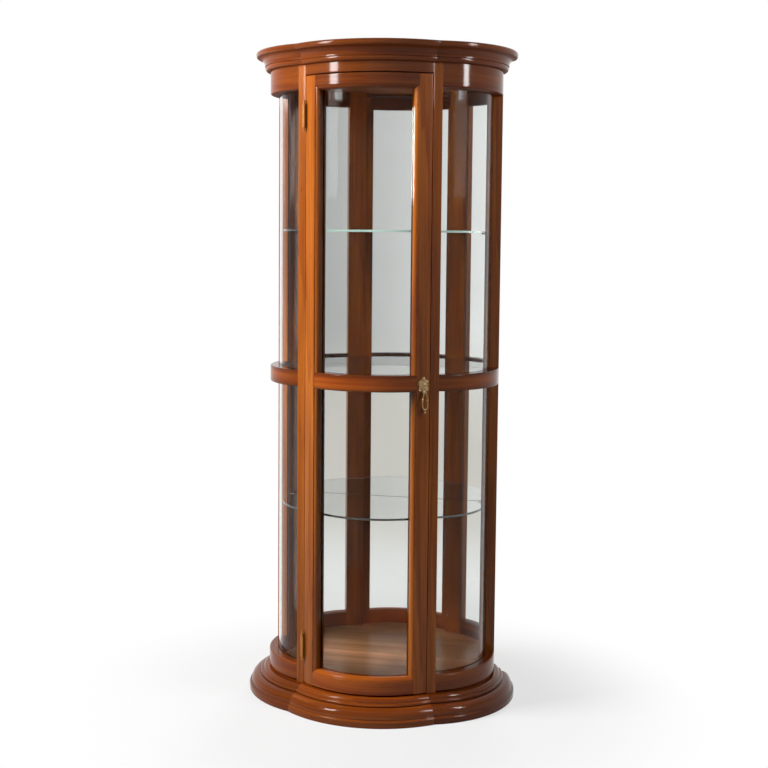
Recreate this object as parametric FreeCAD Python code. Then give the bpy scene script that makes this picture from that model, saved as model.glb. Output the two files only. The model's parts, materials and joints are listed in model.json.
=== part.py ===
import FreeCAD, Part
import math
import os

V = FreeCAD.Vector
UP = V(0, 0, 1)

# Plan of the cabinet, in millimetres; bearings run from straight ahead towards the right
front_radius = 272.0
side_radius = 223.7
door_edge_bearing = 40.5
post_lip = 3.6
side_turn = 17.92
back_reach = 86.0
frame_depth = 36.0

# Heights
floor_thickness = 10.0
door_lift = 4.0
bottom_rail_height = 52.5
mid_rail_low = 912.0
mid_rail_height = 45.5
frieze_top = 1796.5
frieze_height = 64.5
fixed_rail_height = 28.0
door_head_gap = 3.0

# Plinth moulding, from the toe upwards
plinth_reach = 58.5
toe_height = 19.5
toe_round = 6.0
groove_depth = 6.0
groove_height = 4.0
torus_height = 23.0
torus_run = 25.0
torus_swell = 7.0
plinth_fillet_reach = 25.0
plinth_fillet_height = 9.0
plinth_bead_reach = 18.0
plinth_bead_run = 10.0
plinth_bead_height = 11.0
bead_swell = 2.4
moulding_step = 2.0
ledge_inset = 22.0
ring_inset = 40.0
base_thickness = 20.0

# Cornice moulding, from the bead upwards
cornice_reach = 40.5
cornice_bead_root = 4.0
cornice_bead_reach = 13.5
cornice_bead_height = 13.5
cornice_bead_swell = 5.5
cornice_fillet_reach = 16.0
cornice_fillet_height = 3.5
cove_reach = 35.0
cove_height = 20.5
cove_hollow = 4.5
thumb_height = 7.0
thumb_swell = 1.2
crown_round = 8.5
crown_height = 9.0
crown_swell = 3.4
top_ledge = 30.0
top_ledge_drop = 12.0
top_panel_thickness = 8.0

# Rails and friezes
arris = 5.0
arris_swell = 1.5
quirk_depth = 6.0
quirk_height = 6.0
mid_rail_set = 0.8
mid_rail_edge = 3.0
mid_rail_swell = 0.8
ceiling_thickness = 20.0

# Posts
post_face = 22.4
post_back_bearing = 100.0
post_back_width = 31.8
post_back_depth = 36.0
stop_width = 13.0
stop_depth = 15.0
stop_gap = 1.5

# Door
door_gap = 2.4
door_back_clear = 2.0
stile_width = 49.5
stick_round = 10.0
stick_quirk = 2.0
stick_swell = 2.9

# Glass
glass_thickness = 4.0
side_glass_cover = 5.0
door_glass_cover = 7.0
glass_slack = 0.5
glass_bite = 8.0
glass_end_slack = 1.0
shelf_thickness = 6.0
shelf_slack = 2.0
shelf_lower_z = 552.0
shelf_middle_drop = 11.5
shelf_upper_z = 1344.0

# Mirror and back
mirror_set = 14.0
mirror_thickness = 4.0
mirror_lap = 7.0
panel_thickness = 8.0
panel_lap = 17.0
panel_slack = 1.0
back_board_thickness = 18.0

# Shelf pins
pin_radius = 2.6
pin_flat = 0.6
pin_sunk = 10.0
pin_proud = 12.0
pin_slack = 0.05

# Hinges
hinge_inset = 107.0
hinge_reach = 6.5
knuckle_radius = 4.6
knuckle_height = 20.0
knuckle_slack = 0.3
hinge_pin_radius = 2.5
hinge_pin_slack = 0.05
finial_height = 13.0
finial_collar = 1.6
finial_neck = 1.9
finial_ball = 3.0
finial_ball_sunk = 0.6
finial_tip = 1.3
finial_collar_radius = 4.1
finial_waist_radius = 3.2
leaf_thickness = 2.0
leaf_depth = 25.0
leaf_overlap = 2.0

# Screws
screw_head_radius = 3.0
screw_head_height = 0.9
screw_radius = 1.5
screw_length = 14.0
screw_slack = 0.05
screw_pitch = 20.0
screw_set = 13.0
back_screw_head_radius = 4.0
back_screw_head_height = 2.5
back_screw_radius = 2.0
back_screw_length = 26.0
back_screw_rows = 5
back_screw_margin = 90.0

# Magnetic catches
magnet_radius = 4.0
magnet_length = 12.0
magnet_proud = 1.1
strike_thickness = 1.2
catch_inset = 60.0

# Drop pull
pull_lift = 17.5
plate_half_width = 17.0
plate_half_height = 24.0
plate_scallop = 0.11
plate_lobes = 6
plate_points = 48
plate_lift = 0.1
plate_thickness = 1.9
dome_radius = 11.0
dome_height = 3.2
stud_drop = 19.0
stud_reach = 11.0
stud_sunk = 10.5
stud_stem_radius = 3.0
stud_ball_radius = 4.4
drop_bar_radius = 1.6
drop_bar_slack = 0.05
drop_half_width = 10.0
drop_bar_half = 7.0
drop_length = 50.0
drop_wire_radius = 1.9
drop_ball_radius = 3.4
drop_knee = 2.2

# Working allowances: overcut past a face, sweep past a joint, share of a face
overcut = 1.0
front_sweep = 80.0
rail_sweep = 60.0
side_sweep_first = -20.0
side_sweep_last = 130.0
seam_share = 0.6
pin_share = 0.45

# Heights and depths that follow from the sizes
plinth_height = toe_height + groove_height + torus_height + plinth_fillet_height + plinth_bead_height
cornice_height = cornice_bead_height + cornice_fillet_height + cove_height + thumb_height + crown_height
total_height = frieze_top + cornice_height
floor_top = plinth_height + floor_thickness
ceiling_low = frieze_top - ceiling_thickness
door_foot = plinth_height + door_lift
bottom_rail_top = plinth_height + bottom_rail_height
mid_rail_top = mid_rail_low + mid_rail_height
frieze_low = frieze_top - frieze_height
fixed_rail_low = frieze_top - fixed_rail_height
door_head = fixed_rail_low - door_head_gap
door_thickness = frame_depth - door_back_clear
side_glass_set = frame_depth - side_glass_cover - glass_thickness
door_glass_set = door_thickness - door_glass_cover - glass_thickness
shelf_middle_z = mid_rail_top - shelf_middle_drop
pull_height = mid_rail_low + pull_lift
root_half = math.sqrt(1 / 2)


def aim(bearing):
    return V(math.sin(math.radians(bearing)), -math.cos(math.radians(bearing)), 0)


def across(bearing):
    return V(math.cos(math.radians(bearing)), math.sin(math.radians(bearing)), 0)


def turn_of(run, radius):
    return math.degrees(run / radius)


# Plan positions: the side lobes start at the cusps, and the plan is centred between front and back
seam_bearing = door_edge_bearing + turn_of(post_lip, front_radius)
side_axis = aim(seam_bearing) * front_radius - aim(side_turn) * side_radius
front_reach = front_radius + max(plinth_reach, cornice_reach)
front_axis = V(0, (front_reach - side_axis.y - back_reach) / 2, 0)
side_axis = side_axis + front_axis
back_y = side_axis.y + back_reach
mirror_y = back_y - mirror_set
panel_y = mirror_y + mirror_thickness
post_back_inner_x = side_axis.x + math.sqrt(side_radius ** 2 - back_reach ** 2) - post_back_width
far = 3 * (front_radius + side_radius)


def front_at(bearing, offset):
    return front_axis + aim(bearing) * (front_radius + offset)


def side_at(bearing, offset):
    return side_axis + aim(bearing) * (side_radius + offset)


def seam_at(offset):
    # Point where the front and right lobes meet when both are offset alike
    reach_a = front_radius + offset
    reach_b = side_radius + offset
    span = side_axis - front_axis
    along = (span.Length ** 2 + reach_a ** 2 - reach_b ** 2) / (2 * span.Length)
    rise = math.sqrt(reach_a ** 2 - along ** 2)
    unit = V(span).normalize()
    return front_axis + unit * along + V(unit.y, -unit.x, 0) * rise


def outline(steps, put):
    # Face inside a run of lines and arcs; an arc step is (point, swell to the right of travel)
    edges = []
    here = steps[0]
    for step in steps[1:] + steps[:1]:
        there = step[0] if isinstance(step, tuple) else step
        run = there - here
        if isinstance(step, tuple):
            middle = (here + there) / 2 + V(run.y, -run.x, 0).normalize() * step[1]
            edges.append(Part.Arc(put(here), put(middle), put(there)).toShape())
        elif run.Length > pin_slack:
            edges.append(Part.makeLine(put(here), put(there)))
        here = there
    return Part.Face(Part.Wire(edges))


def prism(steps, low, high):
    face = outline(steps, lambda p: V(p.x, p.y, low))
    return face.extrude(UP * (high - low))


def turned(axis, radius, steps, first, last):
    # Ring segment with the given section; x of a step is the offset from the lobe's face, y the height
    face = outline(steps, lambda p: axis + aim(first) * (radius + p.x) + UP * p.y)
    return face.revolve(axis, UP, last - first)


def bow(axis, radius, inner, outer, low, high, first, last):
    # Plain ring segment between two offsets and two heights
    return turned(axis, radius, [V(inner, low), V(outer, low), V(outer, high), V(inner, high)], first, last)


def drum(axis, radius, low, high):
    return Part.makeCylinder(radius, high - low, axis + UP * low, UP)


def flipped(shape):
    return shape.mirror(V(0, 0, 0), V(1, 0, 0))


def lobed(offset, low, high, rear):
    # Three-lobed board, cut off straight at the rear
    body = drum(front_axis, front_radius + offset, low, high)
    side = drum(side_axis, side_radius + offset, low, high)
    body = body.fuse([side, flipped(side)]).removeSplitter()
    trim = Part.makeBox(2 * far, far, high - low, V(-far, rear - far, low))
    return body.common(trim)


def peg(start, direction, radius, length):
    return Part.makeCylinder(radius, length, start, direction)


def screw(start, direction, head_radius, head_height, radius, length):
    head = peg(start, direction, head_radius, head_height)
    return head.fuse(peg(start, direction, radius, length)).removeSplitter()


def screw_hole(start, direction, head_radius, head_height, radius, length):
    return screw(start, direction, head_radius + screw_slack, head_height, radius + screw_slack,
                 length + overcut)


seam = seam_at(0)
seam_run = (seam_at(plinth_reach) - seam).normalize()
seam_inner = seam - seam_run * (side_radius * seam_share)
seam_outer = seam + seam_run * side_radius
post_bearing = side_turn + turn_of(post_face, side_radius)
stile_bearing = door_edge_bearing - turn_of(stile_width, front_radius)
stick_bearing = stile_bearing + turn_of(stick_round, front_radius)
edge_aim = aim(door_edge_bearing)
edge_across = across(door_edge_bearing)


def edge_at(offset, inward):
    # Right-hand door joint: offset from the lobe's face and distance from the joint towards the door
    return front_at(door_edge_bearing, offset) - edge_across * inward


stile_back_run = front_at(stile_bearing, -door_thickness) - edge_at(-door_thickness, door_gap / 2)
stile_back_run.normalize()
stile_back_aim = V(stile_back_run.y, -stile_back_run.x, 0)
if stile_back_aim.dot(edge_aim) < 0:
    stile_back_aim = stile_back_aim * -1


def front_span(shape, low, high):
    # Keep what lies between the two seams
    corners = [seam_inner, seam_outer, V(-seam_outer.x, seam_outer.y, 0), V(-seam_inner.x, seam_inner.y, 0)]
    return shape.common(prism(corners, low, high))


def side_span(shape, low, high):
    # Keep what lies behind the right seam and ahead of the back plane
    corners = [seam_inner, seam_outer, V(far, seam_outer.y, 0), V(far, back_y, 0), V(seam_inner.x, back_y, 0)]
    return shape.common(prism(corners, low, high))


def plinth_section():
    groove_x = plinth_reach - groove_depth
    torus_low = toe_height + groove_height
    torus_top = torus_low + torus_height
    fillet_top = torus_top + plinth_fillet_height
    torus_root = plinth_fillet_reach + moulding_step
    return [V(-ring_inset, 0), V(plinth_reach, 0),
            V(plinth_reach, toe_height - toe_round),
            (V(plinth_reach - toe_round, toe_height), toe_round * (1 - root_half)),
            V(groove_x, toe_height), V(groove_x, torus_low), V(torus_root + torus_run, torus_low),
            (V(torus_root, torus_top), torus_swell),
            V(plinth_fillet_reach, torus_top),
            (V(plinth_fillet_reach - moulding_step, fillet_top), bead_swell),
            V(plinth_bead_reach, fillet_top),
            (V(plinth_bead_reach - plinth_bead_run, plinth_height), bead_swell),
            V(-ledge_inset, plinth_height), V(-ledge_inset, plinth_height - base_thickness),
            V(-ring_inset, plinth_height - base_thickness)]


def cornice_section():
    bead_top = frieze_top + cornice_bead_height
    fillet_top = bead_top + cornice_fillet_height
    cove_top = fillet_top + cove_height
    thumb_top = cove_top + thumb_height
    return [V(-ring_inset, frieze_top), V(cornice_bead_root, frieze_top),
            (V(cornice_bead_reach, bead_top), cornice_bead_swell),
            V(cornice_fillet_reach, bead_top), V(cornice_fillet_reach, fillet_top),
            (V(cove_reach, cove_top), -cove_hollow),
            V(cove_reach + moulding_step, cove_top),
            (V(cornice_reach, thumb_top), thumb_swell),
            (V(cornice_reach - crown_round, total_height), crown_swell),
            V(-top_ledge, total_height), V(-top_ledge, total_height - top_ledge_drop),
            V(-ring_inset, total_height - top_ledge_drop)]


def moulding_set(name, section, low, high):
    # One moulding in three mitred lengths
    front = turned(front_axis, front_radius, section, -front_sweep, front_sweep)
    side = turned(side_axis, side_radius, section, side_sweep_first, side_sweep_last)
    right = side_span(side, low, high)
    return {name + "_front": front_span(front, low, high), name + "_right": right,
            name + "_left": flipped(right)}


def back_board(low, high):
    # Straight board across the back, its ends shaped to the side mouldings
    board = Part.makeBox(2 * far, back_board_thickness, high - low,
                         V(-far, back_y - back_board_thickness, low))
    return board.common(lobed(-ring_inset - glass_slack, low, high, back_y))


def front_post_plan(grow):
    # Right front post: two lobe faces, glass side, inner face and door stop
    stop_root = edge_at(-door_thickness - stop_gap, -door_gap / 2)
    stop_tip = stop_root + stile_back_run * (stop_width + door_gap / 2 + grow)
    inner = stop_tip - stile_back_aim * (stop_depth + grow)
    return [edge_at(plinth_reach, -door_gap / 2), seam + seam_run * plinth_reach,
            side_at(post_bearing + turn_of(grow, side_radius), plinth_reach),
            side_at(post_bearing + turn_of(grow, side_radius), -frame_depth - grow),
            inner, stop_tip, stop_root]


def back_post_plan(grow):
    # Right back post: side face, glass side and mirror side
    inner_x = post_back_inner_x - grow
    front_y = mirror_y - post_back_depth + glass_bite - grow
    return [side_at(post_back_bearing, plinth_reach), V(far, back_y, 0), V(inner_x, back_y, 0),
            V(inner_x, front_y, 0), side_at(post_back_bearing, -frame_depth - grow)]


def glass_slot(low, high, first, last):
    # Space the side glass needs, with slack on both faces
    return bow(side_axis, side_radius, -side_glass_set - glass_thickness - glass_slack,
               -side_glass_set + glass_slack, low, high, first, last)


side_bite = turn_of(glass_bite, side_radius - side_glass_set)
side_end = turn_of(glass_bite - glass_end_slack, side_radius - side_glass_set)
lower_pane = (bottom_rail_top - glass_bite, mid_rail_low + glass_bite - glass_end_slack)
upper_pane = (mid_rail_top - glass_bite, frieze_low + glass_bite - glass_end_slack)


def side_panes():
    panes = {}
    for level, reach in (("lower", lower_pane), ("upper", upper_pane)):
        pane = bow(side_axis, side_radius, -side_glass_set - glass_thickness, -side_glass_set,
                   reach[0], reach[1], post_bearing - side_end, post_back_bearing + side_end)
        panes["glass_right_" + level] = pane
        panes["glass_left_" + level] = flipped(pane)
    return panes


def side_rail(section, slots):
    rail = turned(side_axis, side_radius, section, post_bearing, post_back_bearing)
    for low, high in slots:
        rail = rail.cut(glass_slot(low, high, post_bearing - overcut, post_back_bearing + overcut))
    return rail


def mid_section(depth):
    # Flat face set back a little, with both edges rounded
    edge = mid_rail_set + mid_rail_edge
    return [V(-depth, mid_rail_low), V(-edge, mid_rail_low),
            (V(-mid_rail_set, mid_rail_low + mid_rail_edge), mid_rail_swell),
            V(-mid_rail_set, mid_rail_top - mid_rail_edge), (V(-edge, mid_rail_top), mid_rail_swell),
            V(-depth, mid_rail_top)]


def side_rails():
    bottom = [V(-frame_depth, plinth_height), V(-quirk_depth, plinth_height),
              V(-quirk_depth, plinth_height + quirk_height), V(-arris / 2, plinth_height + quirk_height),
              (V(0, plinth_height + quirk_height + arris / 2), arris_swell / 2),
              V(0, bottom_rail_top - arris), (V(-arris, bottom_rail_top), arris_swell),
              V(-frame_depth, bottom_rail_top)]
    middle = mid_section(frame_depth)
    frieze = [V(-frame_depth, frieze_low), V(-arris, frieze_low), (V(0, frieze_low + arris), arris_swell),
              V(0, frieze_top), V(-frame_depth, frieze_top)]
    rails = {}
    for name, section, slots in (
            ("rail_bottom", bottom, [(lower_pane[0], bottom_rail_top + overcut)]),
            ("rail_mid", middle, [(mid_rail_low - overcut, mid_rail_low + glass_bite),
                                  (upper_pane[0], mid_rail_top + overcut)]),
            ("frieze", frieze, [(frieze_low - overcut, frieze_low + glass_bite)])):
        rail = side_rail(section, slots)
        rails[name + "_right"] = rail
        rails[name + "_left"] = flipped(rail)
    return rails


def post_spot(height):
    # Middle of the right front post's inner face, and the direction it faces
    plan = front_post_plan(0)
    run = plan[4] - plan[3]
    facing = V(run.y, -run.x, 0).normalize()
    if facing.dot(edge_aim) > 0:
        facing = facing * -1
    return plan[3] + run * pin_share + UP * height, facing


def back_post_spot(height):
    return V(post_back_inner_x, mirror_y - (post_back_depth - glass_bite) / 2, height), V(-1, 0, 0)


def pin_seats(slack):
    # Right-hand shelf pins at the three shelves, flattened on top where the glass rests
    seats = []
    for level in (shelf_lower_z, shelf_middle_z, shelf_upper_z):
        middle = level - pin_radius + pin_flat
        for spot, facing in (post_spot(middle), back_post_spot(middle)):
            shaft = peg(spot - facing * (pin_sunk + slack), facing, pin_radius + slack,
                        pin_sunk + pin_proud + slack)
            lid = Part.makeBox(2 * far, 2 * far, pin_radius, V(-far, -far, level + slack))
            seats.append(shaft.cut(lid) if slack == 0 else shaft)
    return seats


def hinge_axis():
    spot = front_at(-door_edge_bearing, hinge_reach)
    return V(spot.x, spot.y, 0)


hinge_aim = aim(-door_edge_bearing)
hinge_across = across(-door_edge_bearing)
hinge_height = 3 * knuckle_height
hinge_levels = {"upper": door_head - hinge_inset, "lower": door_foot + hinge_inset}


def leaf_box(side, low, high, near, deep):
    # Plate beside the hinge joint; side is +1 for the door and -1 for the post
    face = hinge_axis() + hinge_across * (side * door_gap / 2)
    corners = [face - hinge_aim * near, face - hinge_aim * deep,
               face - hinge_aim * deep + hinge_across * (side * leaf_thickness),
               face - hinge_aim * near + hinge_across * (side * leaf_thickness)]
    return prism(corners, low, high)


def leaf_screws(side, level):
    spots = []
    for row in (-1, 0, 1):
        start = hinge_axis() - hinge_aim * (hinge_reach + screw_set) + UP * (level + row * screw_pitch)
        spots.append((start + hinge_across * (side * door_gap / 2), hinge_across * side))
    return spots


def screws_at(spots):
    return [screw(start, way, screw_head_radius, screw_head_height, screw_radius, screw_length)
            for start, way in spots]


def holes_at(spots):
    return [screw_hole(start, way, screw_head_radius, screw_head_height, screw_radius, screw_length)
            for start, way in spots]


def hinge_leaf(side, level):
    # Plate with its share of the knuckles; the post carries the outer two, the door the middle one
    half = hinge_height / 2
    leaf = leaf_box(side, level - half, level + half, knuckle_radius + knuckle_slack,
                    hinge_reach + leaf_depth)
    rows = (0,) if side > 0 else (-1, 1)
    for row in rows:
        middle = level + row * knuckle_height
        low = middle - (knuckle_height - knuckle_slack) / 2
        high = middle + (knuckle_height - knuckle_slack) / 2
        tab = leaf_box(side, low, high, 0, knuckle_radius + leaf_overlap)
        leaf = leaf.fuse([tab, drum(hinge_axis(), knuckle_radius, low, high)])
    leaf = leaf.removeSplitter()
    leaf = leaf.cut(drum(hinge_axis(), hinge_pin_radius + hinge_pin_slack, level - half, level + half))
    return leaf.cut(holes_at(leaf_screws(side, level)))


def leaf_seat(side, level):
    half = hinge_height / 2
    return leaf_box(side, level - half, level + half, 0, hinge_reach + leaf_depth)


def hinge_pin(level):
    # Pin with a turned finial at each end: collar, waist, ball and tip
    half = hinge_height / 2
    pin = drum(hinge_axis(), hinge_pin_radius, level - half, level + half)
    waist = finial_height - finial_collar - 2 * finial_ball
    for way in (-1, 1):
        foot = hinge_axis() + UP * (level + way * half)
        neck = foot + UP * (way * finial_collar)
        middle = neck + UP * (way * (waist + finial_ball - finial_ball_sunk))
        pin = pin.fuse([peg(foot, UP * way, finial_collar_radius, finial_collar),
                        Part.makeCone(finial_waist_radius, finial_neck, waist, neck, UP * way),
                        Part.makeSphere(finial_ball, middle),
                        Part.makeSphere(finial_tip, middle + UP * (way * finial_ball))])
    return pin.removeSplitter()


def catch_spots():
    # Magnet positions on the right-hand door stop, facing the stile
    root = edge_at(-door_thickness - stop_gap, -door_gap / 2)
    spot = root + stile_back_run * (stop_width / 2 + door_gap / 2)
    return [spot + UP * (door_head - catch_inset), spot + UP * (door_foot + catch_inset)]


def posts():
    post = prism(front_post_plan(0), plinth_height, frieze_top)
    post = post.common(lobed(0, plinth_height, frieze_top, back_y))
    for low, high in (lower_pane, upper_pane):
        post = post.cut(glass_slot(low, high + glass_end_slack, post_bearing - side_bite,
                                   post_bearing + side_bite))
    rear = prism(back_post_plan(0), plinth_height, frieze_top)
    rear = rear.common(lobed(0, plinth_height, frieze_top, back_y))
    for low, high in (lower_pane, upper_pane):
        rear = rear.cut(glass_slot(low, high + glass_end_slack, post_back_bearing - side_bite,
                                   post_back_bearing + side_bite))
    seat = Part.makeBox(2 * (post_back_inner_x + mirror_lap + panel_slack), far, frieze_top,
                        V(-post_back_inner_x - mirror_lap - panel_slack, mirror_y, plinth_height))
    rear = rear.cut(seat)
    seat = Part.makeBox(2 * (post_back_inner_x + panel_lap + panel_slack), far, frieze_top,
                        V(-post_back_inner_x - panel_lap - panel_slack, panel_y, plinth_height))
    rear = rear.cut(seat)
    for seat in pin_seats(pin_slack):
        post = post.cut(seat)
        rear = rear.cut(seat)
    for start, way in back_screw_spots():
        rear = rear.cut(back_screw_hole(start, way))
    left = flipped(post)
    for level in hinge_levels.values():
        left = left.cut(leaf_seat(-1, level))
        left = left.cut(holes_at(leaf_screws(-1, level)))
    for spot in catch_spots():
        post = post.cut(peg(spot + stile_back_aim * overcut, stile_back_aim * -1, magnet_radius + pin_slack,
                            magnet_length + overcut))
    return {"post_front_left": left, "post_front_right": post,
            "post_back_left": flipped(rear), "post_back_right": rear}


def back_screw_spots():
    # Right-hand row of screws that hold the back panel
    rows = []
    run = frieze_top - plinth_height - 2 * back_screw_margin
    for row in range(back_screw_rows):
        height = plinth_height + back_screw_margin + run * row / (back_screw_rows - 1)
        x = post_back_inner_x + (mirror_lap + panel_lap + panel_slack) / 2
        rows.append((V(x, panel_y + panel_thickness, height), V(0, -1, 0)))
    return rows


def back_screw(start, way):
    return screw(start, way, back_screw_head_radius, back_screw_head_height, back_screw_radius,
                 back_screw_length)


def back_screw_hole(start, way):
    return screw_hole(start, way, back_screw_head_radius, back_screw_head_height, back_screw_radius,
                      back_screw_length)


def boards():
    base = lobed(-ledge_inset - glass_slack, plinth_height - base_thickness, plinth_height,
                 back_y - back_board_thickness)
    floor = lobed(-frame_depth - panel_slack, plinth_height, floor_top, mirror_y - glass_slack)
    ceiling = lobed(-frame_depth - panel_slack, ceiling_low, frieze_top, panel_y)
    plans = [prism(front_post_plan(0), plinth_height, frieze_top),
             prism(back_post_plan(0), plinth_height, frieze_top)]
    for plan in plans:
        floor = floor.cut([plan, flipped(plan)])
        ceiling = ceiling.cut([plan, flipped(plan)])
    top = lobed(-top_ledge - glass_slack, total_height - top_ledge_drop,
                total_height - top_ledge_drop + top_panel_thickness, back_y - back_board_thickness)
    return {"base_board": base, "floor_board": floor, "ceiling_board": ceiling, "top_panel": top,
            "plinth_back": back_board(0, plinth_height),
            "cornice_back": back_board(frieze_top, total_height - top_ledge_drop + top_panel_thickness)}


def mirror_and_back():
    half = post_back_inner_x + mirror_lap
    glass = Part.makeBox(2 * half, mirror_thickness, ceiling_low - plinth_height - panel_slack,
                         V(-half, mirror_y, plinth_height))
    half = post_back_inner_x + panel_lap
    panel = Part.makeBox(2 * half, panel_thickness, frieze_top - plinth_height,
                         V(-half, panel_y, plinth_height))
    screws = []
    for start, way in back_screw_spots():
        hole = back_screw_hole(start, way)
        panel = panel.cut([hole, flipped(hole)])
        piece = back_screw(start, way)
        screws += [piece, flipped(piece)]
    return {"mirror": glass, "back_panel": panel, "back_screws": Part.makeCompound(screws)}


def shelves():
    made = {}
    plans = [prism(front_post_plan(shelf_slack), 0, total_height),
             prism(back_post_plan(shelf_slack), 0, total_height)]
    for name, level in (("lower", shelf_lower_z), ("middle", shelf_middle_z), ("upper", shelf_upper_z)):
        shelf = lobed(-frame_depth - shelf_slack, level, level + shelf_thickness, mirror_y - shelf_slack)
        for plan in plans:
            shelf = shelf.cut([plan, flipped(plan)])
        made["shelf_" + name] = shelf
    right = pin_seats(0)
    made["shelf_pins"] = Part.makeCompound(right + [flipped(pin) for pin in right])
    return made


def fixed_rail():
    section = [V(-frame_depth, fixed_rail_low), V(-arris / 2, fixed_rail_low),
               (V(0, fixed_rail_low + arris / 2), arris_swell / 2), V(0, frieze_top),
               V(-frame_depth, frieze_top)]
    rail = turned(front_axis, front_radius, section, -rail_sweep, rail_sweep)
    plan = prism(front_post_plan(0), plinth_height, frieze_top)
    span = [edge_at(-frame_depth - overcut, -door_gap / 2), edge_at(front_radius, -door_gap / 2)]
    corners = span + [V(-p.x, p.y, 0) for p in reversed(span)]
    rail = rail.common(prism(corners, fixed_rail_low, frieze_top))
    return {"frieze_front": rail.cut([plan, flipped(plan)])}


def door_glass_space(low, high, reach, slack):
    return bow(front_axis, front_radius, -door_glass_set - glass_thickness - slack, -door_glass_set + slack,
               low, high, -reach, reach)


door_bite = turn_of(glass_bite, front_radius - door_glass_set)
door_end = turn_of(glass_bite - glass_end_slack, front_radius - door_glass_set)


def stick_corner(height, way):
    # Corner block of the right stile's rounded edge, past the mitre that starts at the given height
    inner = stile_bearing - overcut
    block = [front_at(inner, -2 * door_thickness), front_at(inner, plinth_reach),
             front_at(stick_bearing, plinth_reach), front_at(stick_bearing, -2 * door_thickness)]
    block = prism(block, door_foot - overcut, door_head + overcut)
    sight = front_at(stile_bearing, 0) + UP * height
    slope = front_at(stick_bearing, 0) + UP * (height + way * stick_round) - sight
    slope = slope * (stile_width / slope.Length)
    depth = aim(stile_bearing) * (2 * front_radius)
    sight = sight - depth * root_half ** 2
    corners = [sight - slope, sight + slope, sight + slope + depth, sight - slope + depth]
    mitre = Part.Face(Part.makePolygon(corners + corners[:1]))
    past = block.common(mitre.extrude(UP * (way * total_height)))
    short = block.common(mitre.extrude(UP * (-way * total_height)))
    return past, short


def door_frame():
    # Stiles with a rounded edge towards the glass, mitred into the rails' rounded edges
    plan = [edge_at(plinth_reach, door_gap / 2), front_at(stick_bearing, plinth_reach),
            front_at(stick_bearing, -stick_quirk),
            (front_at(stile_bearing, -stick_quirk - stick_round), -stick_swell),
            front_at(stile_bearing, -door_thickness), edge_at(-door_thickness, door_gap / 2)]
    stile = prism(plan, door_foot, door_head).common(drum(front_axis, front_radius, door_foot, door_head))
    top_past, top_short = stick_corner(frieze_low - arris, 1)
    bottom_past, bottom_short = stick_corner(bottom_rail_top, -1)
    stile = stile.cut(top_past).cut(bottom_past)
    blank = stile
    for low, high in (lower_pane, upper_pane):
        stile = stile.cut(door_glass_space(low, high + glass_end_slack, stile_bearing + door_bite,
                                           glass_slack))
    hinge_stile = flipped(stile)
    for level in hinge_levels.values():
        hinge_stile = hinge_stile.cut(leaf_seat(1, level))
        hinge_stile = hinge_stile.cut(holes_at(leaf_screws(1, level)))
    for spot in catch_spots():
        stile = stile.cut(peg(strike_spot(spot) - stile_back_aim * overcut, stile_back_aim,
                              magnet_radius + pin_slack, strike_thickness + overcut))
    stile = stile.cut(pull_stem_hole())
    stick = stick_quirk + stick_round
    top = [V(-door_thickness, frieze_low - arris), V(-stick, frieze_low - arris),
           (V(-stick_quirk, frieze_low - arris + stick_round), stick_swell),
           V(0, frieze_low - arris + stick_round), V(0, door_head), V(-door_thickness, door_head)]
    middle = mid_section(door_thickness)
    bottom = [V(-door_thickness, door_foot), V(-arris / 2, door_foot),
              (V(0, door_foot + arris / 2), arris_swell / 2), V(0, bottom_rail_top - stick_round),
              V(-stick_quirk, bottom_rail_top - stick_round),
              (V(-stick, bottom_rail_top), stick_swell), V(-door_thickness, bottom_rail_top)]
    made = {"door_stile_hinge": hinge_stile, "door_stile_lock": stile}
    for name, section, past, slots in (
            ("door_rail_top", top, top_short, [(frieze_low - arris - overcut,
                                                upper_pane[1] + glass_end_slack)]),
            ("door_rail_mid", middle, blank, [(mid_rail_low - overcut, lower_pane[1] + glass_end_slack),
                                              (upper_pane[0], mid_rail_top + overcut)]),
            ("door_rail_bottom", bottom, bottom_short, [(lower_pane[0], bottom_rail_top + overcut)])):
        rail = turned(front_axis, front_radius, section, -stick_bearing, stick_bearing)
        for low, high in slots:
            rail = rail.cut(door_glass_space(low, high, stick_bearing + overcut, glass_slack))
        rail = rail.cut([past, flipped(past)])
        made[name] = max(rail.Solids, key=lambda solid: solid.Volume)
    for name, reach in (("lower", lower_pane), ("upper", upper_pane)):
        made["door_glass_" + name] = door_glass_space(reach[0], reach[1], stile_bearing + door_end, 0)
    return made


def strike_spot(spot):
    # Matching point on the back of the stile
    return spot + stile_back_aim * stop_gap


def hinges():
    made = {}
    door_screws = []
    post_screws = []
    for name, level in hinge_levels.items():
        made["hinge_door_" + name] = hinge_leaf(1, level)
        made["hinge_post_" + name] = hinge_leaf(-1, level)
        made["hinge_pin_" + name] = hinge_pin(level)
        door_screws += screws_at(leaf_screws(1, level))
        post_screws += screws_at(leaf_screws(-1, level))
    made["hinge_screws_door"] = Part.makeCompound(door_screws)
    made["hinge_screws_post"] = Part.makeCompound(post_screws)
    return made


def catches():
    magnets = []
    strikes = []
    for spot in catch_spots():
        magnets.append(peg(spot + stile_back_aim * magnet_proud, stile_back_aim * -1, magnet_radius,
                           magnet_length + magnet_proud))
        strikes.append(peg(strike_spot(spot), stile_back_aim, magnet_radius, strike_thickness))
    return {"catch_magnets": Part.makeCompound(magnets), "catch_strikes": Part.makeCompound(strikes)}


pull_bearing = (stick_bearing + door_edge_bearing) / 2
pull_aim = aim(pull_bearing)
pull_across = across(pull_bearing)
stud_z = pull_height - stud_drop


def pull_at(sideways, offset, height):
    return front_at(pull_bearing, offset) + pull_across * sideways + UP * height


def pull_stem_hole():
    return peg(pull_at(0, overcut, stud_z), pull_aim * -1, stud_stem_radius + pin_slack,
               stud_sunk + overcut)


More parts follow.
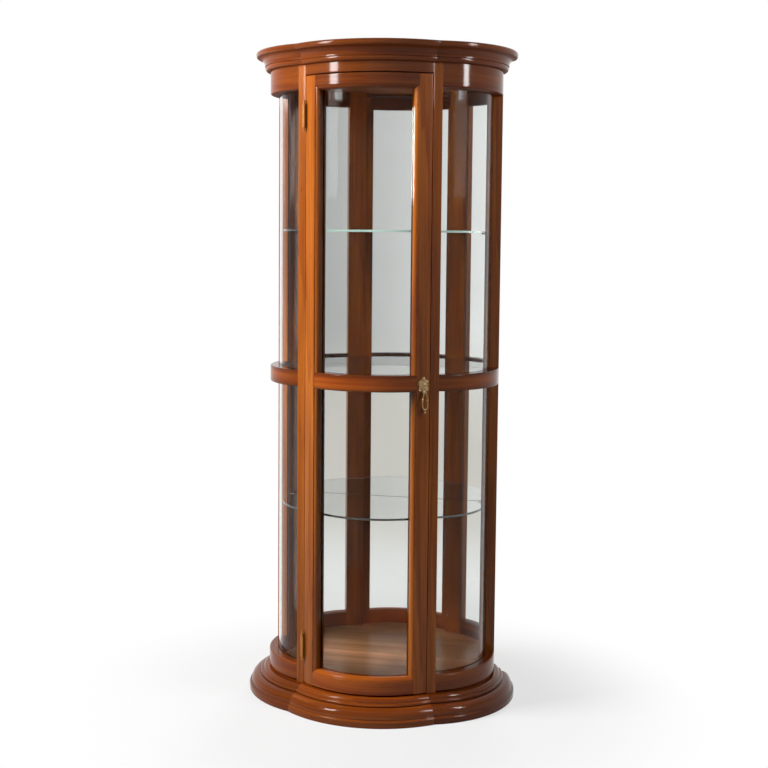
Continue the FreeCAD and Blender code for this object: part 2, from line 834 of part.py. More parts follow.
def plate_outline():
    # Scalloped oval: the radius of an oval swells and shrinks with the bearing
    rim = []
    for count in range(plate_points):
        angle = 2 * math.pi * count / plate_points
        swing = 1 + plate_scallop * math.cos(plate_lobes * angle)
        rim.append(pull_at(plate_half_width * swing * math.sin(angle) / (1 + plate_scallop), -plate_lift,
                           pull_height + plate_half_height * swing * math.cos(angle) / (1 + plate_scallop)))
    curve = Part.BSplineCurve()
    curve.interpolate(rim, PeriodicFlag=True)
    return Part.Face(Part.Wire([curve.toShape()]))


def pull():
    reach = plate_thickness + dome_height
    blank = plate_outline().extrude(pull_aim * (2 * reach))
    shell = drum(front_axis, front_radius + plate_thickness, pull_height - 2 * plate_half_height,
                 pull_height + 2 * plate_half_height)
    shell = shell.cut(drum(front_axis, front_radius + plate_lift, pull_height - 2 * plate_half_height,
                           pull_height + 2 * plate_half_height))
    plate = blank.common(shell)
    swell = (dome_radius ** 2 + dome_height ** 2) / (2 * dome_height)
    dome = Part.makeSphere(swell, pull_at(0, plate_thickness + dome_height - swell, pull_height))
    dome = dome.common(peg(pull_at(0, plate_thickness / 2, pull_height), pull_aim, dome_radius, swell))
    plate = plate.fuse(dome).removeSplitter()
    stem = peg(pull_at(0, -stud_sunk, stud_z), pull_aim, stud_stem_radius, stud_sunk + stud_reach)
    ball = Part.makeSphere(stud_ball_radius, pull_at(0, stud_reach, stud_z))
    eye = peg(pull_at(-2 * stud_ball_radius, stud_reach, stud_z), pull_across,
              drop_bar_radius + drop_bar_slack, 4 * stud_ball_radius)
    stud = stem.fuse(ball).removeSplitter().cut(eye)
    plate = plate.cut(peg(pull_at(0, -overcut, stud_z), pull_aim, stud_stem_radius + pin_slack, 2 * reach))
    return {"pull_plate": plate, "pull_stud": stud, "pull_drop": drop()}


def drop():
    # Bar through the stud's eye, with a pear-shaped wire loop and a ball at its foot
    fall = drop_length - drop_half_width
    reach = math.hypot(drop_bar_half, fall)
    lean = math.asin(drop_half_width / reach) - math.atan2(drop_bar_half, fall)
    straight = math.sqrt(reach ** 2 - drop_half_width ** 2)
    centre = pull_at(0, stud_reach, stud_z - fall)
    pieces = []
    for way in (-1, 1):
        top = pull_at(way * drop_bar_half, stud_reach, stud_z)
        run = pull_across * (way * math.sin(lean)) - UP * math.cos(lean)
        pieces += [Part.makeSphere(drop_knee, top), peg(top, run, drop_wire_radius, straight)]
    start = centre + (pull_across * math.cos(lean) + UP * math.sin(lean)) * drop_half_width
    run = pull_across * math.sin(lean) - UP * math.cos(lean)
    ring = Part.Face(Part.Wire([Part.makeCircle(drop_wire_radius, start, run)]))
    pieces.append(ring.revolve(centre, pull_aim * -1, 180 + 2 * math.degrees(lean)))
    pieces.append(Part.makeSphere(drop_ball_radius, pull_at(0, stud_reach, stud_z - drop_length)))
    bar = peg(pull_at(-drop_bar_half, stud_reach, stud_z), pull_across, drop_bar_radius, 2 * drop_bar_half)
    return bar.fuse(pieces).removeSplitter()


def build():
    pieces = {}
    pieces.update(moulding_set("plinth", plinth_section(), 0, plinth_height))
    pieces.update(moulding_set("cornice", cornice_section(), frieze_top, total_height))
    pieces.update(posts())
    pieces.update(boards())
    pieces.update(side_rails())
    pieces.update(fixed_rail())
    pieces.update(side_panes())
    pieces.update(mirror_and_back())
    pieces.update(shelves())
    pieces.update(door_frame())
    pieces.update(hinges())
    pieces.update(catches())
    pieces.update(pull())
    return pieces


os.makedirs("parts", exist_ok=True)
for node, shape in build().items():
    shape.exportStep("parts/" + node + ".step")
    box = shape.BoundBox
    print(node, len(shape.Solids), round(shape.Volume), shape.isValid(),
          [round(v, 1) for v in (box.XMin, box.XMax, box.YMin, box.YMax, box.ZMin, box.ZMax)])
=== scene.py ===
"""Looks, stage and camera of a lacquered half-round display cabinet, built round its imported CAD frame."""
import json
import math

import bpy
import numpy as np
from bpy.props import FloatProperty, FloatVectorProperty, IntProperty, PointerProperty
from mathutils import Matrix, Vector


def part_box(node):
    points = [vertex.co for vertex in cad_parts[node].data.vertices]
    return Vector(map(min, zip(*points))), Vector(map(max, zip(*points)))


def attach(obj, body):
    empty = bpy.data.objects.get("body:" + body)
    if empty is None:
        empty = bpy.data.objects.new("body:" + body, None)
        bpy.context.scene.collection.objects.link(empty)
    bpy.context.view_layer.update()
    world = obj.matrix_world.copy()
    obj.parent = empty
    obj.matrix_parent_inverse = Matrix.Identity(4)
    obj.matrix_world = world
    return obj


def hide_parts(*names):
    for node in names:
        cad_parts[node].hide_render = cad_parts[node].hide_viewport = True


bl_info = {
    "name": "Half-round Display Cabinet",
    "version": (1, 0, 0),
    "blender": (4, 5, 0),
    "location": "View3D > Sidebar > Cabinet",
    "description": "Dresses the cabinet's CAD frame in lacquered cherry, bent glass, mirror and brass",
    "category": "Add Mesh",
}

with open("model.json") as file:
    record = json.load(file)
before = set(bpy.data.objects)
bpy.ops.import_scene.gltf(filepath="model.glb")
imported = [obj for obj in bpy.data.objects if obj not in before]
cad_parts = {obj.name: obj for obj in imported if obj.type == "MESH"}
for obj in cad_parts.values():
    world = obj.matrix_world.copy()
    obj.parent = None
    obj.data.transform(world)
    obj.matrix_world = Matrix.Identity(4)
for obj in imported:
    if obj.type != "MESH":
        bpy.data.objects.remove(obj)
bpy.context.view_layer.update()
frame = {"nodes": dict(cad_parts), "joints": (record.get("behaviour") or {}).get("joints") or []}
NODES = frame["nodes"]
JOINTS = {joint["name"]: joint for joint in frame["joints"]}
HINGE_SPOT = np.array(JOINTS["door_hinge"]["pos_m"])
SWING_SPOT = np.array(JOINTS["drop_swing"]["pos_m"])
SWING_ACROSS = -np.array(JOINTS["drop_swing"]["axis"])

UPRIGHTS = ("post_front_left", "post_front_right", "post_back_left", "post_back_right",
            "door_stile_hinge", "door_stile_lock")
FRONT_BOWS = ("plinth_front", "cornice_front", "frieze_front", "door_rail_top", "door_rail_mid",
              "door_rail_bottom")
SIDE_BOWS = ("plinth", "cornice", "rail_bottom", "rail_mid", "frieze")
BOARDS = ("base_board", "ceiling_board", "top_panel", "plinth_back", "cornice_back")
PANES = ("glass_left_upper", "glass_left_lower", "glass_right_upper", "glass_right_lower",
         "door_glass_upper", "door_glass_lower")
SHELVES = ("shelf_lower", "shelf_middle", "shelf_upper")
HINGES = ("hinge_post_upper", "hinge_post_lower", "hinge_door_upper", "hinge_door_lower")

# Reach of the bows that turns an angle into a run along the grain
GRAIN_REACH = 0.27
# Shares of painted shade over the plinth, darker towards the bottom, and over the frieze and cornice,
# standing in for the cornice's shadow
FOOT_PAINTED_SHADE = {"front": 0.52, "left": 0.40, "right": 0.40}
HEAD_PAINTED_SHADE = {"front": 0.66, "left": 0.40, "right": 0.40}
# Heights between which the painted shade of the foot fades out, and that of the head comes in
FOOT_FADE = (0.03, 0.12)
HEAD_FADE = (1.66, 1.72)
# Painted shade along the top and bottom edges of the middle rails, which makes their faces look rounded:
# its share, where it starts and is full off their centre line, and where it ends
EDGE_PAINTED_SHADE = 0.62
EDGE_FADE = (0.008, 0.022)
EDGE_END = 0.03
# Share of darkening in the recesses, partly glaze held there and partly painted shade, and of bare wood on
# the rubbed arrises
RECESS_GLAZE_AND_SHADE = 0.85
RUBBED_SHARE = 0.40
# Widths over which the arrises of wood and of metal look softened
WOOD_ARRIS = 0.0016
METAL_ARRIS = 0.0006
# Refraction of panes and shelves, and what a sheet lets through of the lamp light
PANE_IOR = 1.15
SHELF_IOR = 1.8
SHEET_SHADE = (0.42, 0.43, 0.425, 1.0)

# How far a direction points backwards where the backdrop starts and ends its change from grey to white
BEHIND = (-0.10, 0.75)
# How far a direction points to the right where the front backdrop goes from grey to near white, then
# both tones
ASIDE = (-0.28, -0.10, 0.54, 0.98)
# Heights of a direction between which the front backdrop darkens, then the share of its tone at both
ALOFT = (0.14, 0.55, 1.0, 0.5)
WHITE = (1.0, 1.0, 1.0, 1.0)
FLOOR_REACH = 60.0
# The floor's tone in front of the cabinet, the distances over which it comes in, and those over which
# the floor takes the backdrop's tones
FRONT_TONE = (0.75, 0.715, 0.67, 1.0)
FRONT_FADE = (0.64, 2.4)
FAR_FADE = (3.0, 14.0)
# Distances between which the floor's shadow fades into the even floor, and the even share at both
SHADOW_FADE = (0.45, 1.0, 0.62, 1.0)

# Lamps: distance from the cabinet's middle, heights of the lower and upper edge, and widths in metres,
# and bearings from straight ahead in degrees
LAMP_DISTANCE = 2.6
BROAD_HEIGHTS = (1.50, 3.10)
BROAD_WIDTH = 1.00
BROAD_BEARINGS = {"softbox_left": -62, "softbox_right": 76, "softbox_back": 180}
STRIP_HEIGHTS = (1.94, 3.40)
STRIPS = (("strip_left", -50, 0.46), ("strip_right", 74, 0.34))


# Sizes, finishes and stage

class CabinetSizes(bpy.types.PropertyGroup):
    """Sizes that the new pieces and the grain follow."""

    front_radius: FloatProperty(
        name="Front radius", description="Radius of the door's bowed face", default=0.272,
        unit="LENGTH")
    front_axis: FloatVectorProperty(
        name="Front axis", description="Centre of the front bow, seen from above",
        default=(0.0, 0.118063, 0.0), subtype="XYZ")
    side_axis: FloatVectorProperty(
        name="Side axis", description="Centre of the right-hand bow, seen from above",
        default=(0.110542, 0.126437, 0.0), subtype="XYZ")
    mid_rail_middle: FloatProperty(
        name="Middle rail", description="Height of the middle rails' centre line above the ground",
        default=0.93475, unit="LENGTH")
    plate_height: FloatProperty(
        name="Plate height", description="Height of the pull plate's middle above the ground",
        default=0.9295, unit="LENGTH")
    plate_half_width: FloatProperty(
        name="Plate half width", description="Half the width of the pull plate", default=0.017,
        unit="LENGTH")
    plate_half_height: FloatProperty(
        name="Plate half height", description="Half the height of the pull plate", default=0.024,
        unit="LENGTH")
    plate_lobes: IntProperty(
        name="Plate lobes", description="Scallops round the pull plate's rim", default=6, min=3)
    drop_length: FloatProperty(
        name="Drop length", description="Length of the hanging loop below its pivot", default=0.050,
        unit="LENGTH")
    drop_half_width: FloatProperty(
        name="Drop half width", description="Half the width of the hanging loop", default=0.0092,
        unit="LENGTH")
    drop_wire: FloatProperty(
        name="Drop wire", description="Radius of the hanging loop's wire", default=0.0021,
        unit="LENGTH")
    pin_half: FloatProperty(
        name="Hinge pin half length", description="Half the length of a hinge pin with its finials",
        default=0.0435, unit="LENGTH")
    screw_head: FloatProperty(
        name="Screw head", description="Radius of a back screw's head", default=0.004,
        unit="LENGTH")
    screw_length: FloatProperty(
        name="Screw length", description="Length of a back screw with its head", default=0.024,
        unit="LENGTH")


class CabinetFinishes(bpy.types.PropertyGroup):
    """Colours of the wood, glass and metal."""

    cherry_pale: FloatVectorProperty(
        name="Cherry, pale", description="Lacquered wood between the growth rings",
        default=(0.54, 0.155, 0.014), subtype="COLOR", min=0, max=1)
    cherry_deep: FloatVectorProperty(
        name="Cherry, deep", description="Lacquered wood along the growth rings",
        default=(0.20, 0.030, 0.0025), subtype="COLOR", min=0, max=1)
    # The recesses, and the painted shade of the bows, mix towards this colour
    cherry_pore: FloatVectorProperty(
        name="Cherry, pores", description="Stain held in the pores and recesses",
        default=(0.035, 0.008, 0.003), subtype="COLOR", min=0, max=1)
    cherry_rubbed: FloatVectorProperty(
        name="Cherry, rubbed", description="Wood where the stain is rubbed off along the arrises",
        default=(0.58, 0.21, 0.05), subtype="COLOR", min=0, max=1)
    bow_tint: FloatVectorProperty(
        name="Bow tint", description="Redder stain of the curved rails and mouldings",
        default=(1.0, 0.84, 0.75), subtype="COLOR", min=0, max=1)
    # Painted light: these scale the bows' colour, lighter at the front and darker at the sides than the
    # posts
    front_painted_light: FloatProperty(
        name="Front shade", description="Tone of the front rails beside that of the posts", default=1.15,
        min=0, max=2)
    side_painted_shade: FloatProperty(
        name="Side shade", description="Tone of the side rails beside that of the posts", default=0.74,
        subtype="FACTOR", min=0, max=1)
    lacquer: FloatProperty(
        name="Lacquer roughness", description="Roughness of the polished lacquer", default=0.10,
        subtype="FACTOR", min=0, max=1)
    floor_pale: FloatVectorProperty(
        name="Inside floor, pale", description="Lighter wood of the floor inside",
        default=(0.80, 0.37, 0.155), subtype="COLOR", min=0, max=1)
    floor_deep: FloatVectorProperty(
        name="Inside floor, deep", description="Figure of the floor inside", default=(0.46, 0.18, 0.070),
        subtype="COLOR", min=0, max=1)
    backing_pale: FloatVectorProperty(
        name="Backing, pale", description="Plain plywood of the back panel",
        default=(0.46, 0.29, 0.15), subtype="COLOR", min=0, max=1)
    backing_deep: FloatVectorProperty(
        name="Backing, deep", description="Figure of the plywood", default=(0.27, 0.15, 0.07),
        subtype="COLOR", min=0, max=1)
    glass_body: FloatVectorProperty(
        name="Glass", description="Tint of the clear glass", default=(0.978, 0.988, 0.982),
        subtype="COLOR", min=0, max=1)
    glass_edge: FloatVectorProperty(
        name="Glass edge", description="Tint of the polished shelf edges",
        default=(0.80, 0.93, 0.88), subtype="COLOR", min=0, max=1)
    silver: FloatVectorProperty(
        name="Silvering", description="Reflected tint of the mirror", default=(0.80, 0.81, 0.80),
        subtype="COLOR", min=0, max=1)
    brass_bright: FloatVectorProperty(
        name="Brass, bright", description="Polished brass on the arrises", default=(0.25, 0.17, 0.085),
        subtype="COLOR", min=0, max=1)
    brass_aged: FloatVectorProperty(
        name="Brass, aged", description="Tarnished brass in the hollows", default=(0.11, 0.065, 0.027),
        subtype="COLOR", min=0, max=1)
    hinge_bright: FloatVectorProperty(
        name="Hinge, bright", description="Lacquered brass of the hinges", default=(0.46, 0.20, 0.055),
        subtype="COLOR", min=0, max=1)
    hinge_aged: FloatVectorProperty(
        name="Hinge, aged", description="Hollows of the hinges", default=(0.32, 0.13, 0.032),
        subtype="COLOR", min=0, max=1)
    steel: FloatVectorProperty(
        name="Steel", description="Plain steel of the screws and catches", default=(0.52, 0.52, 0.53),
        subtype="COLOR", min=0, max=1)


class CabinetStage(bpy.types.PropertyGroup):
    """Camera, lamps and floor."""

    camera_spot: FloatVectorProperty(
        name="Camera", description="Place of the camera", default=(0.81385, -3.56716, 1.3492),
        subtype="XYZ", unit="LENGTH")
    camera_bearing: FloatProperty(
        name="Bearing", description="Turn of the camera round the cabinet", default=math.radians(12.426),
        unit="ROTATION")
    camera_pitch: FloatProperty(
        name="Pitch", description="Downward tilt of the camera", default=math.radians(4.890),
        unit="ROTATION")
    camera_roll: FloatProperty(
        name="Roll", description="Roll of the camera", default=math.radians(0.516), unit="ROTATION")
    camera_lens: FloatProperty(
        name="Lens", description="Focal length on a 36 mm sensor, in millimetres", default=61.25)
    camera_shift: FloatProperty(
        name="Shift", description="Vertical shift, as a share of the frame", default=-0.0547)
    key_power: FloatProperty(
        name="Left softbox", description="Power of the broad softbox round to the left", default=150.0,
        unit="POWER")
    fill_power: FloatProperty(
        name="Right softbox", description="Power of the broad softbox round to the right", default=38.0,
        unit="POWER")
    back_power: FloatProperty(
        name="Back softbox", description="Power of the broad softbox behind the cabinet", default=40.0,
        unit="POWER")
    strip_power: FloatProperty(
        name="Strip lamps", default=210.0, unit="POWER",
        description="Power per metre of width of the strips that gleam on the lacquer")
    ambient: FloatProperty(
        name="Ambient", description="Strength of the even light from the room", default=0.02, min=0)
    floor_colour: FloatVectorProperty(
        name="Floor", description="Colour of the floor round the cabinet", default=(0.86, 0.86, 0.86),
        subtype="COLOR", min=0, max=1)


def sizes():
    return bpy.context.scene.cabinet_sizes


def finishes():
    return bpy.context.scene.cabinet_finishes


def stage_values():
    return bpy.context.scene.cabinet_stage


# Node trees

def put(tree, kind, **settings):
    """A shader node of that kind with its settings."""
    made = tree.nodes.new("ShaderNode" + kind)
    for key, value in settings.items():
        setattr(made, key, value)
    return made


def feed(tree, socket, source):
    """Links a socket to its source, or writes a plain value into it."""
    if isinstance(source, bpy.types.NodeSocket):
        tree.links.new(source, socket)
    else:
        socket.default_value = source


def calc(tree, operation, a, b=0.0, clamp=False):
    made = put(tree, "Math", operation=operation, use_clamp=clamp)
    feed(tree, made.inputs[0], a)
    feed(tree, made.inputs[1], b)
    return made.outputs[0]


def vector_calc(tree, operation, a, b=(0.0, 0.0, 0.0)):
    made = put(tree, "VectorMath", operation=operation)
    feed(tree, made.inputs[0], a)
    feed(tree, made.inputs[1], b)
    return made.outputs["Value" if operation in ("DOT_PRODUCT", "LENGTH") else "Vector"]


def span(tree, value, low, high, first=0.0, last=1.0):
    """Carries the run from low to high smoothly over to the run from first to last, held at both ends."""
    made = put(tree, "MapRange", interpolation_type="SMOOTHSTEP")
    for socket, source in zip(made.inputs, (value, low, high, first, last)):
        feed(tree, socket, source)
    return made.outputs[0]


def mixed(tree, factor, a, b, mode="MIX"):
    made = put(tree, "Mix", data_type="RGBA", blend_type=mode)
    for index, source in ((0, factor), (6, a), (7, b)):
        feed(tree, made.inputs[index], source)
    return made.outputs[2]


def noise(tree, vector, scale, detail=2.0, rough=0.5, distort=0.0):
    made = put(tree, "TexNoise")
    feed(tree, made.inputs["Vector"], vector)
    for name, value in (("Scale", scale), ("Detail", detail), ("Roughness", rough),
                        ("Distortion", distort)):
        made.inputs[name].default_value = value
    return made.outputs["Fac"]


def rgba(colour):
    return (*colour, 1.0)


def group(name, inputs, outputs):
    """An empty node group with its named sockets, and its inner input and output nodes."""
    tree = bpy.data.node_groups.new(name, "ShaderNodeTree")
    kinds = {"vector": "NodeSocketVector", "colour": "NodeSocketColor", "value": "NodeSocketFloat"}
    for direction, names in (("INPUT", inputs), ("OUTPUT", outputs)):
        for label, kind in names:
            tree.interface.new_socket(label, in_out=direction, socket_type=kinds[kind])
    return tree, tree.nodes.new("NodeGroupInput").outputs, tree.nodes.new("NodeGroupOutput").inputs


def use(tree, name, **values):
    """Places a group in a tree with its own values and gives its outputs."""
    made = put(tree, "Group", node_tree=bpy.data.node_groups[name])
    for key, value in values.items():
        feed(tree, made.inputs[key.replace("_", " ")], value)
    return made.outputs


def bow_run_group():
    """Object coordinates bent round a vertical axis: out from it, up, and along the bow for the grain."""
    tree, given, out = group("bow_run", [("Vector", "vector"), ("Axis", "vector")],
                             [("Vector", "vector")])
    parts = put(tree, "SeparateXYZ")
    feed(tree, parts.inputs[0], vector_calc(tree, "SUBTRACT", given["Vector"], given["Axis"]))
    ahead = calc(tree, "MULTIPLY", parts.outputs[1], -1.0)
    turn = calc(tree, "ARCTAN2", parts.outputs[0], ahead)
    reach = calc(tree, "SQRT", calc(tree, "ADD", calc(tree, "POWER", parts.outputs[0], 2.0),
                                    calc(tree, "POWER", ahead, 2.0)))
    run = calc(tree, "MULTIPLY", turn, GRAIN_REACH)
    bent = put(tree, "CombineXYZ")
    for socket, source in zip(bent.inputs, (reach, parts.outputs[2], run)):
        feed(tree, socket, source)
    feed(tree, out["Vector"], bent.outputs[0])


def cherry_grain_group():
    """Wood with its grain along the third coordinate: growth rings, fibres, pores and stain clouds."""
    tree, given, out = group(
        "cherry_grain",
        [("Vector", "vector"), ("Pale", "colour"), ("Deep", "colour"), ("Pore", "colour"),
         ("Gloss", "value")],
        [("Color", "colour"), ("Roughness", "value"), ("Height", "value")])
    slow = vector_calc(tree, "MULTIPLY", given["Vector"], (1.0, 1.0, 0.055))
    fine = vector_calc(tree, "MULTIPLY", given["Vector"], (1.0, 1.0, 0.022))
    cloud = vector_calc(tree, "MULTIPLY", given["Vector"], (1.0, 1.0, 0.30))
    rings = put(tree, "TexWave", wave_type="BANDS", bands_direction="DIAGONAL", wave_profile="SAW")
    feed(tree, rings.inputs["Vector"], slow)
    for name, value in (("Scale", 9.0), ("Distortion", 5.5), ("Detail", 3.0), ("Detail Scale", 1.4),
                        ("Detail Roughness", 0.6)):
        rings.inputs[name].default_value = value
    fibre = noise(tree, fine, 150.0, 6.0, 0.62, 0.3)
    figure = noise(tree, slow, 26.0, 4.0, 0.55, 0.8)
    stain = noise(tree, cloud, 5.0, 3.0, 0.5)
    pores = span(tree, noise(tree, fine, 620.0, 3.0, 0.6), 0.60, 0.74)
    specks = put(tree, "TexVoronoi")
    feed(tree, specks.inputs["Vector"], cloud)
    specks.inputs["Scale"].default_value = 46.0
    flecks = calc(tree, "MULTIPLY", span(tree, specks.outputs["Distance"], 0.05, 0.13, 1.0, 0.0),
                  span(tree, noise(tree, cloud, 19.0), 0.55, 0.68))
    ring_part = calc(tree, "MULTIPLY", rings.outputs["Fac"], 0.26)
    fibre_part = calc(tree, "MULTIPLY", span(tree, fibre, 0.28, 0.72), 0.30)
    figure_part = calc(tree, "MULTIPLY", span(tree, figure, 0.25, 0.75), 0.44)
    tone = calc(tree, "ADD", ring_part, calc(tree, "ADD", fibre_part, figure_part), clamp=True)
    wood = mixed(tree, tone, given["Deep"], given["Pale"])
    shade = span(tree, stain, 0.25, 0.75, 0.72, 1.14)
    even = put(tree, "CombineColor")
    for socket in even.inputs:
        feed(tree, socket, shade)
    wood = mixed(tree, 1.0, wood, even.outputs[0], "MULTIPLY")
    marks = calc(tree, "ADD", calc(tree, "MULTIPLY", pores, 0.42), calc(tree, "MULTIPLY", flecks, 0.75),
                 clamp=True)
    feed(tree, out["Color"], mixed(tree, marks, wood, given["Pore"]))
    uneven = calc(tree, "ADD", calc(tree, "MULTIPLY", marks, 0.05),
                  span(tree, stain, 0.2, 0.8, -0.02, 0.03))
    feed(tree, out["Roughness"], calc(tree, "ADD", given["Gloss"], uneven))
    feed(tree, out["Height"], calc(tree, "SUBTRACT", calc(tree, "MULTIPLY", fibre, 0.35), marks))


def arris_wear_group():
    """Mask and softened normal along the arrises, and a mask of the recesses by ambient occlusion, which
    darkens the wood as part glaze and part painted shade.
    """
    tree, given, out = group("arris_wear", [("Radius", "value"), ("Vector", "vector")],
                             [("Rubbed", "value"), ("Recess", "value"), ("Normal", "vector")])
    soft = put(tree, "Bevel", samples=6)
    feed(tree, soft.inputs["Radius"], given["Radius"])
    facing = put(tree, "NewGeometry")
    along = vector_calc(tree, "DOT_PRODUCT", soft.outputs[0], facing.outputs["Normal"])
    turn = calc(tree, "SUBTRACT", 1.0, along)
    inside = put(tree, "AmbientOcclusion", samples=4, only_local=True)
    inside.inputs["Distance"].default_value = 0.013
    hollow = span(tree, inside.outputs["AO"], 0.35, 0.80, 1.0, 0.0)
    patches = span(tree, noise(tree, given["Vector"], 34.0, 3.0), 0.38, 0.66)
    rubbed = calc(tree, "MULTIPLY", span(tree, turn, 0.015, 0.16), patches)
    feed(tree, out["Rubbed"], calc(tree, "MULTIPLY", rubbed, calc(tree, "SUBTRACT", 1.0, hollow)))
    feed(tree, out["Recess"], hollow)
    feed(tree, out["Normal"], soft.outputs[0])


def handling_group():
    """Faint cloudy marks that handling and dust leave on a polished surface."""
    tree, given, out = group("handling", [("Vector", "vector"), ("Least", "value"), ("Most", "value")],
                             [("Value", "value"), ("Mask", "value")])
    clouds = noise(tree, given["Vector"], 9.0, 5.0, 0.62, 0.6)
    specks = span(tree, noise(tree, given["Vector"], 420.0, 2.0), 0.68, 0.78)
    mask = calc(tree, "ADD", span(tree, clouds, 0.42, 0.78), calc(tree, "MULTIPLY", specks, 0.35),
                clamp=True)
    feed(tree, out["Mask"], mask)
    spread = calc(tree, "SUBTRACT", given["Most"], given["Least"])
    feed(tree, out["Value"], calc(tree, "ADD", given["Least"], calc(tree, "MULTIPLY", mask, spread)))


def fresh_material(name):
    """A material with only a Principled shader and its output."""
    made = bpy.data.materials.new(name)
    made.use_nodes = True
    tree = made.node_tree
    tree.nodes.clear()
    shader = put(tree, "BsdfPrincipled")
    out = put(tree, "OutputMaterial")
    tree.links.new(shader.outputs[0], out.inputs["Surface"])
    return made, tree, shader, out


def object_coordinates(tree):
    return put(tree, "TexCoord").outputs["Object"]


def wood_material(name, along, pale=None, deep=None, gloss=None, axis=None, foot=0.0, head=0.0):
    """Lacquered wood; along is up, across or bow, and a bow needs the axis that it bends round.

    Foot and head are the shares of painted shade over the plinth, darker towards the bottom, and over the
    frieze and cornice. On a bow the middle rails also get painted shade along their edges, and every wood
    darkens in its recesses, partly as glaze and partly as painted shade.
    """
    if name in bpy.data.materials:
        return bpy.data.materials[name]
    f = finishes()
    made, tree, shader, _ = fresh_material(name)
    here = object_coordinates(tree)
    run = here
    if along == "across":
        turned = put(tree, "Mapping", vector_type="POINT")
        turned.inputs["Rotation"].default_value = (0.0, math.pi / 2, 0.0)
        feed(tree, turned.inputs["Vector"], here)
        run = turned.outputs[0]
    elif along == "bow":
        run = use(tree, "bow_run", Vector=here, Axis=axis)["Vector"]
    grain = use(tree, "cherry_grain", Vector=run, Pale=rgba(pale or f.cherry_pale),
                Deep=rgba(deep or f.cherry_deep), Pore=rgba(f.cherry_pore),
                Gloss=f.lacquer if gloss is None else gloss)
    wear = use(tree, "arris_wear", Radius=WOOD_ARRIS, Vector=here)
    rubbed = mixed(tree, calc(tree, "MULTIPLY", wear["Rubbed"], RUBBED_SHARE), grain["Color"],
                   rgba(f.cherry_rubbed))
    glaze_and_painted_shade = calc(tree, "MULTIPLY", wear["Recess"], RECESS_GLAZE_AND_SHADE)
    # Painted shade on the bows: darker towards the foot of the plinth, over the frieze and cornice, and
    # along the edges of the middle rails
    if along == "bow":
        parts = put(tree, "SeparateXYZ")
        feed(tree, parts.inputs[0], here)
        height = parts.outputs[2]
        off = calc(tree, "ABSOLUTE", calc(tree, "SUBTRACT", height, sizes().mid_rail_middle))
        edge = calc(tree, "MULTIPLY", span(tree, off, *EDGE_FADE, 0.0, EDGE_PAINTED_SHADE),
                    calc(tree, "LESS_THAN", off, EDGE_END))
        for more in (span(tree, height, *FOOT_FADE, foot, 0.0), span(tree, height, *HEAD_FADE, 0.0, head),
                     edge):
            glaze_and_painted_shade = calc(tree, "MAXIMUM", glaze_and_painted_shade, more)
    # Base colour goes towards the pore stain by the glaze and painted shade in the recesses and by the
    # painted shade of the bows
    feed(tree, shader.inputs["Base Color"], mixed(tree, glaze_and_painted_shade, rubbed, rgba(f.cherry_pore)))
    facing = put(tree, "SeparateXYZ")
    feed(tree, facing.inputs[0], put(tree, "NewGeometry").outputs["Normal"])
    under = span(tree, facing.outputs[2], -0.9, -0.5, 0.5, 0.0)
    feed(tree, shader.inputs["Roughness"],
         calc(tree, "ADD", calc(tree, "ADD", grain["Roughness"], under),
              calc(tree, "MULTIPLY", wear["Recess"], 0.16)))
    bump = put(tree, "Bump")
    bump.inputs["Strength"].default_value = 0.035
    bump.inputs["Distance"].default_value = 0.0005
    feed(tree, bump.inputs["Height"], grain["Height"])
    feed(tree, bump.inputs["Normal"], wear["Normal"])
    feed(tree, shader.inputs["Normal"], bump.outputs[0])
    shader.inputs["Specular IOR Level"].default_value = 0.17
    return made


def bow_material(side):
    """Wood bent round the front axis, or round the left or right one."""
    f = finishes()
    axis = Vector(sizes().front_axis if side == "front" else sizes().side_axis)
    if side == "left":
        axis.x = -axis.x
    # Painted light: the front bows are lighter and the side bows darker than the posts; the bow tint is
    # their own redder stain
    stain = Vector(f.bow_tint) * (f.front_painted_light if side == "front" else f.side_painted_shade)
    return wood_material("cherry_" + side + "_bow", "bow", axis=axis, pale=stain * Vector(f.cherry_pale),
                         deep=stain * Vector(f.cherry_deep), foot=FOOT_PAINTED_SHADE[side], head=HEAD_PAINTED_SHADE[side])


def glass_material(name, edged):
    """Clear glass that lets part of the lamp light through; an edged sheet is green along its rim."""
    if name in bpy.data.materials:
        return bpy.data.materials[name]
    f = finishes()
    made, tree, shader, out = fresh_material(name)
    marks = use(tree, "handling", Vector=object_coordinates(tree), Least=0.0, Most=0.035)
    body = mixed(tree, calc(tree, "MULTIPLY", marks["Mask"], 0.25), rgba(f.glass_body),
                 (0.93, 0.95, 0.94, 1.0))
    rough = marks["Value"]
    if edged:
        parts = put(tree, "SeparateXYZ")
        feed(tree, parts.inputs[0], put(tree, "NewGeometry").outputs["Normal"])
        rim = span(tree, calc(tree, "ABSOLUTE", parts.outputs[2]), 0.2, 0.7, 1.0, 0.0)
        body = mixed(tree, rim, body, rgba(f.glass_edge))
        rough = calc(tree, "ADD", rough, calc(tree, "MULTIPLY", rim, 0.12))
    feed(tree, shader.inputs["Base Color"], body)
    feed(tree, shader.inputs["Roughness"], rough)
    shader.inputs["IOR"].default_value = SHELF_IOR if edged else PANE_IOR
    shader.inputs["Transmission Weight"].default_value = 1.0
    path = put(tree, "LightPath")
    clear = put(tree, "BsdfTransparent")
    clear.inputs["Color"].default_value = SHEET_SHADE
    surface = shader.outputs[0]
    for ray in ("Is Shadow Ray", "Is Diffuse Ray"):
        choice = put(tree, "MixShader")
        for socket, source in zip(choice.inputs, (path.outputs[ray], surface, clear.outputs[0])):
            tree.links.new(source, socket)
        surface = choice.outputs[0]
    tree.links.new(surface, out.inputs["Surface"])
    return made


